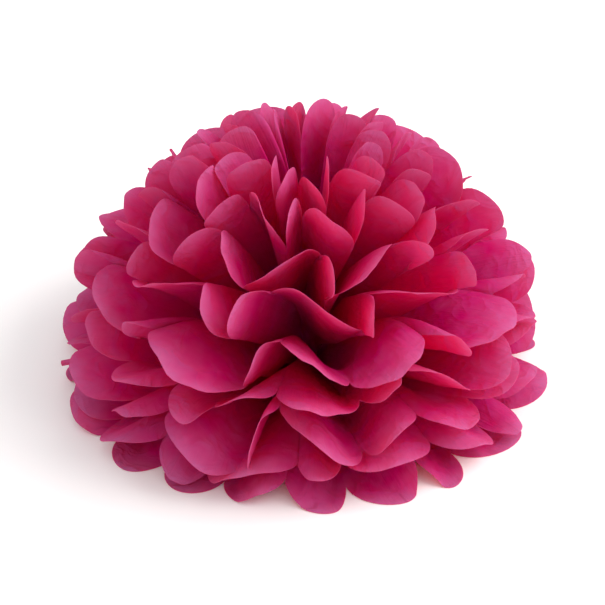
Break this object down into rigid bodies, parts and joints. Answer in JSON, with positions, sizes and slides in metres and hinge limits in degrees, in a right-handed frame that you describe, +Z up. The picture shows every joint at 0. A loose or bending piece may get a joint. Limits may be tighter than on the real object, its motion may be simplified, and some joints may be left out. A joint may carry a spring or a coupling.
{
  "type": "tissue paper pom pom",
  "caption": "Round party decoration of pleated tissue paper sheets with scalloped ends, gathered by a wire and opened into a flat-based bloom.",
  "frame": {"origin": "middle of the bloom's footprint on the table", "axes": "+Z up out of the bloom's top, -Y to the front of the picture, X along the gathered necks of the sheets"},
  "size_m": [0.2478, 0.2488, 0.133],
  "materials": {
    "tissue": "matte, slightly translucent",
    "wire": "plain drawn wire"
  },
  "bodies": {
    "root": {"tissue_sheet_01": "tissue", "tissue_sheet_02": "tissue", "tissue_sheet_03": "tissue", "tissue_sheet_04": "tissue", "tissue_sheet_05": "tissue", "tissue_sheet_06": "tissue", "tissue_sheet_07": "tissue", "tissue_sheet_08": "tissue", "tissue_sheet_09": "tissue", "tie_wire": "wire"}
  },
  "joints": []
}
